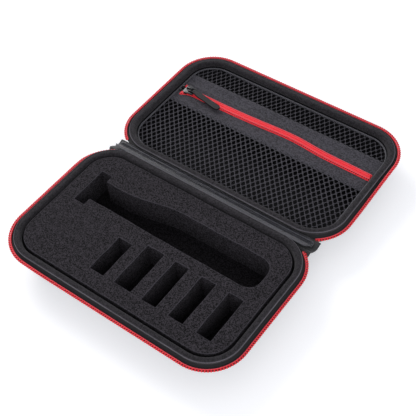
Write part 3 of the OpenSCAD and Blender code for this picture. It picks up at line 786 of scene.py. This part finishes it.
def outer_line():
    """Line of the outer cloth, glued to both shells and sagging between them"""
    half = HINGE_GAP + SHELL_AT + OUTER_DROP * SLOPE - 1.6
    top, rise = RIM_Z["base"], RIM_Z["lid"] - RIM_Z["base"]
    glued = {side: [(side * (HINGE_GAP + SHELL_AT + d * SLOPE - 0.4), z - d) for d in OUTER_GLUED]
             for side, z in ((-1, top), (1, RIM_Z["lid"]))}
    sagging = []
    for i in range(9):
        t = i / 8
        sagging.append((half * (2 * t - 1), top - OUTER_DROP + rise * (1 - math.cos(math.pi * t)) / 2
                        - OUTER_SAG * math.sin(math.pi * t)))
    return glued[-1] + sagging + glued[1][::-1]


def make_hinge(sizes):
    """Both layers of the cloth hinge, and the end of the zipper below them"""
    z_base, z_lid = RIM_Z["base"], RIM_Z["lid"]
    inner = ([(-HINGE_GAP - 0.15, z_base - 1.0), (-HINGE_GAP + 0.7, z_base - 1.3)]
             + [(y, z_base - d) for y, d in INNER_NEAR] + [(y, z_lid - d) for y, d in INNER_FAR]
             + [(HINGE_GAP + 0.15, z_lid - 3.1)])
    satin = hinge_sheet("hinge_satin", inner, CASE_L / 2 - 14.5, 0.5, sizes.wrinkle / MM, 11, 5.5)
    under = hinge_sheet("hinge_outer_cloth", outer_line(), CASE_L / 2 - 13.5, 0.7, 0.3, 23, 8.0)
    for obj, finish, slot, source, width, shorter, carrier in (
            (satin, "satin cloth", "hinge_cloth", "hinge_inner_strip", 24, 19, "rim_binding"),
            (under, "outer cloth", "moulded_shell", "hinge_outer_strip", 48, 27, "shell")):
        obj.data.materials.append(finish_of(finish))
        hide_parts(source)
        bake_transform(obj)
        cloth(obj)
    tab = bevelled("zipper_end_tab", "zipper_end_patch", 0.12, "woven tape", "zipper_tape", "base")
    cloth(tab)
    bevelled("main_slider", "main_slider_cast", 0.3, "black metal", "metal", "base")
    bevelled("main_puller", "main_puller_cast", 0.3, "black metal", "metal", "main_puller_body")


def bevelled(source, name, width, finish, slot, body):
    """A hard piece with the place and shape of a CAD node, its edges rounded so that they catch the light"""
    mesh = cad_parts[source].data.copy()
    mesh.name = name
    mesh.materials.clear()
    joined = bmesh.new()
    joined.from_mesh(mesh)
    bmesh.ops.remove_doubles(joined, verts=joined.verts, dist=1e-6)
    bmesh.ops.dissolve_limit(joined, angle_limit=math.radians(1), verts=joined.verts, edges=joined.edges)
    joined.to_mesh(mesh)
    joined.free()
    obj = bpy.data.objects.new(name, mesh)
    bpy.context.scene.collection.objects.link(obj)
    apply_modifier(obj, "BEVEL", width=width * MM, segments=2, limit_method="ANGLE",
                   angle_limit=math.radians(35))
    obj.data.polygons.foreach_set("use_smooth", [True] * len(obj.data.polygons))
    obj.data.set_sharp_from_angle(angle=math.radians(40))
    return dress(obj, finish, body, slot, source)


# Pocket in the lid

PANEL_HALF = NET_NEAR[1][0]
PANEL_LOW, PANEL_HIGH = NET_NEAR[0][1], NET_FAR[1][1]
PANEL_R = CORNER - PANEL_AT
PIPE_IN = 0.7
# The knit of each net: pitch along and across, width and height of its cords, and the shift from row to row
FAR_KNIT = (5.0, 3.7, 0.95, 0.7, 0.0)
NEAR_KNIT = (5.2, 3.5, 1.3, 0.75, 0.5)
CORD_SHAPE = [(0.5, 0.0), (0.32, 0.5), (-0.32, 0.5), (-0.5, 0.0), (-0.32, -0.5), (0.32, -0.5)]
# The height of each band at shares of its width from the zipper
FAR_BAND = [(0, 21.3), (0.08, 21.45), (0.2, 21.55), (0.32, 21.9), (0.38, 22.25), (0.43, 21.85), (0.46, 21.5),
            (0.6, 21.6), (0.78, 21.75), (0.9, 22.1), (0.96, 22.15), (1.0, 21.5)]
NEAR_BAND = [(0, 21.3), (0.1, 21.45), (0.3, 21.6), (0.5, 21.7), (0.7, 21.8), (0.84, 22.15), (0.93, 22.2),
             (1.0, 21.5)]
POCKET_ROW_WIDTH, POCKET_ROW_AT = 4.15, 4.0
# Left of this the pocket zipper is open
OPEN_LEFT_OF = -84
CORD_R, CORD_SIDES = 0.00058, 8
# Outline across the grip, as shares of half its width and half its thickness
GRIP_SHAPE = [(1.0, 0.0), (0.97, 0.6), (0.86, 0.95), (0.6, 0.9), (0.0, 0.8), (-0.6, 0.9), (-0.86, 0.95),
              (-0.97, 0.6), (-1.0, 0.0), (-0.97, -0.6), (-0.86, -0.95), (0.0, -0.95), (0.86, -0.95),
              (0.97, -0.6)]
GRIP_NOSE, GRIP_HALF = 2.8, 2.9


def bow(x):
    """How far the pocket zipper is drawn away from the hinge in its middle"""
    side = 38 if x < 20 else 24
    return 2.7 * math.exp(-((x - 20) / side) ** 2) - 0.3 * math.exp(-((x - 95) / 12) ** 2)


def panel_reach(y, inset):
    """Half the length of the pocket panel at a distance from the hinge"""
    r = PANEL_R - inset
    away = max(PANEL_LOW + PANEL_R - y, y - PANEL_HIGH + PANEL_R, 0)
    return PANEL_HALF - PANEL_R + math.sqrt(max(r * r - away * away, 0.01))


def make_net(name, source, low, high, knit):
    """Knitted mesh made of wavy cords that meet by turns, which leaves rows of gaps"""
    pitch_x, pitch_y, cord, thick, lean = knit
    verts, faces = [], []
    rows = int((high - low) / pitch_y)
    lift = (pitch_y - cord * 0.8) / 2
    for j in range(rows + 1):
        y = low + (high - low) * j / rows
        reach = panel_reach(y, 0.7)
        xs = spread(-reach, reach, pitch_x / 8)
        first = len(verts)
        for x in xs:
            turn = 2 * math.pi * (x + lean * j) / pitch_x + math.pi * j
            wave = math.tanh(1.6 * math.cos(turn)) / math.tanh(1.6)
            pull = 0.3 * wobble(x * 0.06, y * 0.06, 8)
            here = clamp(y + wave * lift + pull, low - 0.4 + cord / 2, high + 0.4 - cord / 2)
            sag = -0.3 * math.sin(math.pi * (y - low) / (high - low)) + 0.2 * wobble(x * 0.03, y * 0.03, 2)
            wide = cord * (1 + 0.2 * math.sin(turn * 2 + 1) + 0.12 * wobble(x * 3, y * 3))
            for a, b in CORD_SHAPE:
                verts.append((x * MM, (here + a * wide) * MM,
                              (PANEL_Z - 0.42 + b * thick + sag + 0.14 * wave * wave) * MM))
        faces += ring_faces(first, len(xs), len(CORD_SHAPE))
    obj = add_mesh(name, verts, faces)
    dress(obj, "net knit", "lid", "net", source)
    cloth(obj)


def make_band(name, source, low, high, rows):
    """Knitted band beside the pocket zipper. rows gives its height at shares of its width from the zipper."""
    verts = []
    xs = spread(-PANEL_HALF + 0.6, PANEL_HALF - 0.6, 1.5)
    toward = 1 if high > CHAIN_Y else -1
    inner, outer = (low, high) if toward > 0 else (high, low)
    inner -= toward * 0.7
    for x in xs:
        for t, z in rows:
            y = inner + (outer - inner) * t + bow(x) * (1 - t) ** 1.2
            reach = panel_reach(y, 0.6)
            soft = 0.22 * wobble(x * 0.05, t * 4, toward * 3) + 0.1 * wobble(x * 0.3, t * 6, 4)
            verts.append((clamp(x, -reach, reach) * MM, y * MM, (z + soft * math.sin(math.pi * t)) * MM))
    faces = grid_faces(len(xs), len(rows), flip=toward < 0)
    obj = add_mesh(name, verts, faces, [verts[c][:2] for face in faces for c in face])
    dress(obj, "knitted band", "lid", "zipper_tape", source)
    cloth(obj)


def pocket_line(side, x0):
    """The line of one row of the pocket zipper, open left of its slider"""
    def line(s):
        x = x0 + s
        apart = max(OPEN_LEFT_OF - x, 0)
        split = 0.2 * apart if side > 0 else 0.12 * apart + 0.028 * apart * apart
        origin = Vector((x, CHAIN_Y + side * (POCKET_ROW_AT + split) + bow(x), COIL_FAR[0][2] + 0.02))
        return origin, Vector((0, -side, 0)), Vector((1, 0, 0))
    return line


def make_piping():
    """The twisted cord sewn around the pocket panel"""
    half_y = (PANEL_HIGH - PANEL_LOW) / 2
    loop = rounded_loop(PANEL_HALF - PIPE_IN, half_y - PIPE_IN, PANEL_R - PIPE_IN)
    points = [Vector((p.x, p.y + HALF_Y, PANEL_Z + 0.75)) * MM for p in fill_in(loop, 0.4)]
    verts = []
    for i, p in enumerate(points):
        ahead = (points[(i + 1) % len(points)] - points[i - 1]).normalized()
        side = Vector((-ahead.y, ahead.x, 0))
        for k in range(CORD_SIDES):
            angle = 2 * math.pi * k / CORD_SIDES
            ply = CORD_R * (1 + 0.22 * abs(math.sin(angle + i * math.pi / 4)))
            verts.append(p + side * (ply * math.cos(angle)) + UP * (ply * math.sin(angle)))
    cord = add_mesh("twisted_cord", verts, ring_faces(0, len(points), CORD_SIDES, closed=True))
    dress(cord, "corded edge", "lid", "piping", "pocket_piping")


def make_grip(sizes):
    """The moulded strap of the pocket puller, turned a little on its pin"""
    x0, x1 = GRIP[0][0], GRIP[1][0]
    pin = Vector(((SLIDER[0][0] + SLIDER[1][0]) / 2, CHAIN_Y))
    middle, thick = (GRIP[0][2] + GRIP[1][2]) / 2, (GRIP[1][2] - GRIP[0][2]) / 2 - 0.15
    outline = []
    for x in spread(x0 + 0.5, x1 - GRIP_NOSE, 1.2):
        t = (x - x0) / (x1 - x0)
        outline.append((x, GRIP_HALF - 1.0 + min(t * 3.2, 1) - 0.25 * math.exp(-((t - 0.5) / 0.12) ** 2)))
    outline += [(x1 - GRIP_NOSE + GRIP_NOSE * math.sin(a), GRIP_HALF * math.cos(a) ** 0.6)
                for a in map(math.radians, (20, 40, 55, 70, 80, 87))]
    turn = Matrix.Rotation(sizes.puller_turn, 2)
    verts = []
    for x, w in outline:
        for a, b in GRIP_SHAPE:
            flat = pin + turn @ (Vector((x, CHAIN_Y + a * w)) - pin)
            verts.append((flat.x * MM, flat.y * MM, (middle + b * thick) * MM))
    grip = add_mesh("pocket_strap", verts, ring_faces(0, len(outline), len(GRIP_SHAPE)))
    grip.data.set_sharp_from_angle(angle=math.radians(50))
    dress(grip, "grip rubber", "pocket_puller_body", "grip_rubber", "pocket_puller_grip")


def make_pocket(sizes):
    """Net, bands, cord and zipper of the pocket"""
    make_net("net_far_cords", "pocket_net_far", NET_FAR[0][1], NET_FAR[1][1] - 0.7, FAR_KNIT)
    make_net("net_near_cords", "pocket_net_near", NET_NEAR[0][1] + 0.7, NET_NEAR[1][1], NEAR_KNIT)
    make_band("band_far", "pocket_tape_far", TAPE_FAR[0][1], TAPE_FAR[1][1], FAR_BAND)
    make_band("band_near", "pocket_tape_near", TAPE_NEAR[0][1], TAPE_NEAR[1][1], NEAR_BAND)
    length = COIL_FAR[1][0] - COIL_FAR[0][0] - 0.6
    for side, name in ((1, "pocket_coil_far"), (-1, "pocket_coil_near")):
        line = pocket_line(side, COIL_FAR[0][0] + (0.0 if side > 0 else sizes.tooth_pitch / MM / 2))
        make_row(name + "_loops", name, name, "lid", line, length, sizes, POCKET_ROW_WIDTH,
                 (1.5, 1.55, 0.22), (2.9, 0.6, 0.95), "red nylon")
    make_piping()
    bevelled("pocket_slider", "pocket_slider_cast", 0.22, "black metal", "metal", "pocket_slider_body")
    bevelled("pocket_puller_link", "pocket_link_cast", 0.2, "black metal", "metal", "pocket_puller_body")
    bevelled("pocket_zip_stops", "pocket_stops_cast", 0.2, "black metal", "metal", "lid")
    make_grip(sizes)


# Steps of the scene


class SHAVER_CASE_OT_shells(bpy.types.Operator):
    """Gives the two moulded shells their cloth finish"""

    bl_idname = "shaver_case.shells"
    bl_label = "Moulded shells"

    def execute(self, context):
        for name in ("base_shell", "lid_shell"):
            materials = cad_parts[name].data.materials
            materials.clear()
            materials.append(finish_of("moulded cloth"))
        return {"FINISHED"}


class SHAVER_CASE_OT_linings(bpy.types.Operator):
    """Lines both shells with brushed cloth"""

    bl_idname = "shaver_case.linings"
    bl_label = "Linings"

    def execute(self, context):
        for half in ("base", "lid"):
            make_lining(half)
        return {"FINISHED"}


class SHAVER_CASE_OT_bindings(bpy.types.Operator):
    """Folds the knitted tape over both rims"""

    bl_idname = "shaver_case.bindings"
    bl_label = "Rim bindings"

    def execute(self, context):
        for half in ("base", "lid"):
            make_binding(half)
        return {"FINISHED"}


class SHAVER_CASE_OT_main_zipper(bpy.types.Operator):
    """Makes the tapes and the red rows of the main zipper"""

    bl_idname = "shaver_case.main_zipper"
    bl_label = "Main zipper"

    def execute(self, context):
        for half in ("base", "lid"):
            make_tape(half)
            make_main_row(half, context.scene.case_sizes)
        return {"FINISHED"}


class SHAVER_CASE_OT_foam(bpy.types.Operator):
    """Makes the cut foam and the sheet under it"""

    bl_idname = "shaver_case.foam"
    bl_label = "Foam"

    def execute(self, context):
        make_foam(context.scene.case_sizes)
        return {"FINISHED"}


class SHAVER_CASE_OT_pocket(bpy.types.Operator):
    """Makes the net pocket of the lid with its zipper"""

    bl_idname = "shaver_case.pocket"
    bl_label = "Net pocket"

    def execute(self, context):
        make_pocket(context.scene.case_sizes)
        return {"FINISHED"}


class SHAVER_CASE_OT_hinge(bpy.types.Operator):
    """Makes the cloth between the two halves, and the end of the main zipper"""

    bl_idname = "shaver_case.hinge"
    bl_label = "Cloth hinge"

    def execute(self, context):
        make_hinge(context.scene.case_sizes)
        return {"FINISHED"}


# Stage

# Each lamp's name, place, size, power and colour, in metres and watts
LAMPS = (("key_light", (-1.1, 0.45, 0.95), 0.75, 10.0, (1.0, 0.985, 0.96)),
         ("fill_light", (0.9, -1.3, 1.1), 1.2, 13.0, (0.97, 0.98, 1.0)))
WORLD_COLOUR, WORLD_LIGHT, WORLD_SEEN = (0.93, 0.95, 1.0, 1), 0.6, 0.42
# The camera: degrees around, up and rolled, metres from its aim, the aim, and a shift to the right and up
CAMERA_AROUND, CAMERA_UP, CAMERA_ROLL, CAMERA_AWAY = 39.90, 50.53, -4.57, 0.7190
CAMERA_AIM, CAMERA_SHIFT = (0.0079, -0.01655, 0.028), (0.0018, 0.0006)
# Focal length in pixels of a frame 416 wide, on a sensor 36 mm wide
FOCAL, FRAME_WIDE, SENSOR = 905.6, 416, 36


def seen_background(tree):
    """1 where the camera, a mirror or glass looks at the background, and 0 where it only lights the object"""
    rays = node(tree, "ShaderNodeLightPath").outputs
    seen = math_node(tree, "MAXIMUM", rays["Is Camera Ray"], rays["Is Glossy Ray"])
    return math_node(tree, "MAXIMUM", seen, rays["Is Transmission Ray"])


def floor_finish():
    """The pale floor, which fades to the white of the background far from the case"""
    material = bpy.data.materials.new("floor")
    material.use_nodes = True
    tree = material.node_tree
    shader = tree.nodes["Principled BSDF"].inputs
    for key, value in {"Base Color": (0.8, 0.8, 0.8, 1), "Roughness": 0.9, "Specular IOR Level": 0.0,
                       "Emission Color": (0.96, 0.965, 1.0, 1)}.items():
        shader[key].default_value = value
    where = node(tree, "ShaderNodeTexCoord").outputs["Object"]
    away = node(tree, "ShaderNodeVectorMath", (where,), operation="LENGTH").outputs["Value"]
    fade = node(tree, "ShaderNodeMapRange", (away, 0.3, 1.1, 0.42, 1.0)).outputs[0]
    tree.links.new(math_node(tree, "MULTIPLY", seen_background(tree), fade), shader["Emission Strength"])
    return material


def add_lamp(scene, name, where, size, power, colour):
    lamp = bpy.data.lights.new(name, "AREA")
    lamp.shape = "SQUARE"
    lamp.size = size
    lamp.energy = power
    lamp.color = colour
    obj = bpy.data.objects.new(name, lamp)
    obj.location = where
    obj.rotation_euler = (-Vector(where)).to_track_quat("-Z", "Y").to_euler()
    scene.collection.objects.link(obj)


def add_world(scene):
    world = bpy.data.worlds.new("studio")
    scene.world = world
    world.use_nodes = True
    tree = world.node_tree
    back = tree.nodes["Background"].inputs
    back["Color"].default_value = WORLD_COLOUR
    seen = math_node(tree, "MULTIPLY", seen_background(tree), WORLD_SEEN)
    tree.links.new(math_node(tree, "ADD", seen, WORLD_LIGHT), back["Strength"])


def add_camera(scene):
    az, el, roll = (math.radians(a) for a in (CAMERA_AROUND, CAMERA_UP, CAMERA_ROLL))
    back = Vector((math.sin(az) * math.cos(el), -math.cos(az) * math.cos(el), math.sin(el)))
    right = Vector((math.cos(az), math.sin(az), 0))
    up = back.cross(right)
    turned = right * math.cos(roll) + up * math.sin(roll)
    upright = up * math.cos(roll) - right * math.sin(roll)
    data = bpy.data.cameras.new("camera")
    data.sensor_width = SENSOR
    data.lens = FOCAL / FRAME_WIDE * SENSOR
    obj = bpy.data.objects.new("camera", data)
    matrix = Matrix((turned, upright, back)).transposed().to_4x4()
    matrix.translation = (Vector(CAMERA_AIM) + back * CAMERA_AWAY + turned * CAMERA_SHIFT[0]
                          + upright * CAMERA_SHIFT[1])
    obj.matrix_world = matrix
    scene.collection.objects.link(obj)
    scene.camera = obj


class SHAVER_CASE_OT_stage(bpy.types.Operator):
    """Sets the pale floor, the soft light and the camera of the photograph"""

    bl_idname = "shaver_case.stage"
    bl_label = "Floor, light and camera"

    def execute(self, context):
        floor = add_mesh("floor", [(-4, -4, 0), (4, -4, 0), (4, 4, 0), (-4, 4, 0)], [(0, 1, 2, 3)])
        floor.location.z = -0.0002
        floor.data.materials.append(floor_finish())
        for lamp in LAMPS:
            add_lamp(context.scene, *lamp)
        add_world(context.scene)
        add_camera(context.scene)
        context.scene.view_settings.view_transform = "Standard"
        return {"FINISHED"}


STEPS = (SHAVER_CASE_OT_shells, SHAVER_CASE_OT_linings, SHAVER_CASE_OT_bindings, SHAVER_CASE_OT_main_zipper,
         SHAVER_CASE_OT_foam, SHAVER_CASE_OT_pocket, SHAVER_CASE_OT_hinge, SHAVER_CASE_OT_stage)


class SHAVER_CASE_PT_panel(bpy.types.Panel):
    """Lists the pieces of the case in the sidebar"""

    bl_idname = "SHAVER_CASE_PT_panel"
    bl_label = "Shaver Case"
    bl_space_type = "VIEW_3D"
    bl_region_type = "UI"
    bl_category = "Shaver Case"

    def draw(self, context):
        for group in (context.scene.case_sizes, context.scene.case_colours):
            for key in group.__annotations__:
                self.layout.prop(group, key)
        for step in STEPS:
            self.layout.operator(step.bl_idname)


CLASSES = (CaseSizes, CaseColours) + STEPS + (SHAVER_CASE_PT_panel,)


def register():
    for cls in CLASSES:
        bpy.utils.register_class(cls)
    bpy.types.Scene.case_sizes = PointerProperty(type=CaseSizes)
    bpy.types.Scene.case_colours = PointerProperty(type=CaseColours)


def unregister():
    del bpy.types.Scene.case_colours
    del bpy.types.Scene.case_sizes
    for cls in reversed(CLASSES):
        bpy.utils.unregister_class(cls)


def main():
    """Makes the whole scene"""
    register()
    make_materials(bpy.context.scene.case_colours)
    for step in STEPS:
        getattr(bpy.ops.shaver_case, step.bl_idname.split(".")[1])()
    bpy.context.view_layer.update()


if __name__ == "__main__":
    main()
